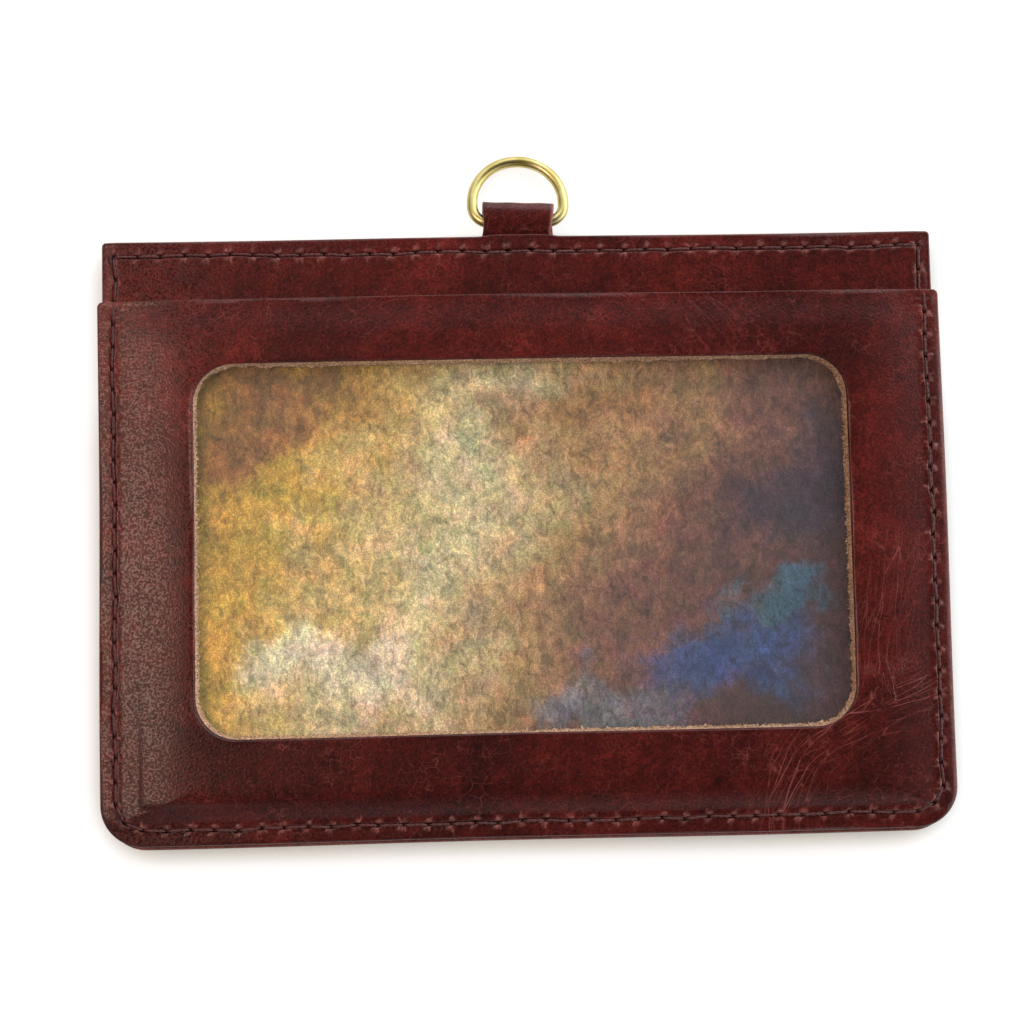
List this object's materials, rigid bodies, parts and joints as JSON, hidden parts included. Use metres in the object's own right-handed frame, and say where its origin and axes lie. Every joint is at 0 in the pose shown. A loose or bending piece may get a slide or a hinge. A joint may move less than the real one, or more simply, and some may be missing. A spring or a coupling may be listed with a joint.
{
  "type": "id badge wallet",
  "caption": "Flat leather badge wallet with a clear window pocket in front, a card pocket behind, a stitched edge and a brass ring on a folded tab for a lanyard.",
  "frame": {"origin": "under the middle of the case, on the crown of the back pocket that the wallet lies on", "axes": "+X along the long side, to the right seen from the front; +Y up to the ring; +Z out of the window side"},
  "size_m": [0.103, 0.0848, 0.0074],
  "materials": {
    "burgundy_leather": "oiled pull-up grain",
    "clear_film": "clear gloss film",
    "printed_card": "matt print on card",
    "ring_brass": "polished",
    "wine_thread": "waxed twist"
  },
  "bodies": {
    "case": {"front_window_panel": "burgundy_leather", "window_film": "clear_film", "header_panel": "burgundy_leather", "back_panel": "burgundy_leather", "back_pocket_panel": "burgundy_leather", "ring_tab": "burgundy_leather", "front_stitching": "wine_thread", "back_stitching": "wine_thread"},
    "ring": {"d_ring": "ring_brass"},
    "card": {"insert_card": "printed_card"}
  },
  "joints": [
    {"name": "ring_swing", "type": "hinge", "parent": "case", "child": "ring", "pos_m": [0, 0.0391, 0.0026], "axis": [1, 0, 0], "range_deg": [-135, 138]},
    {"name": "card_slide", "type": "slide", "parent": "case", "child": "card", "axis": [0, 1, 0], "range_m": [0, 0.075]}
  ]
}
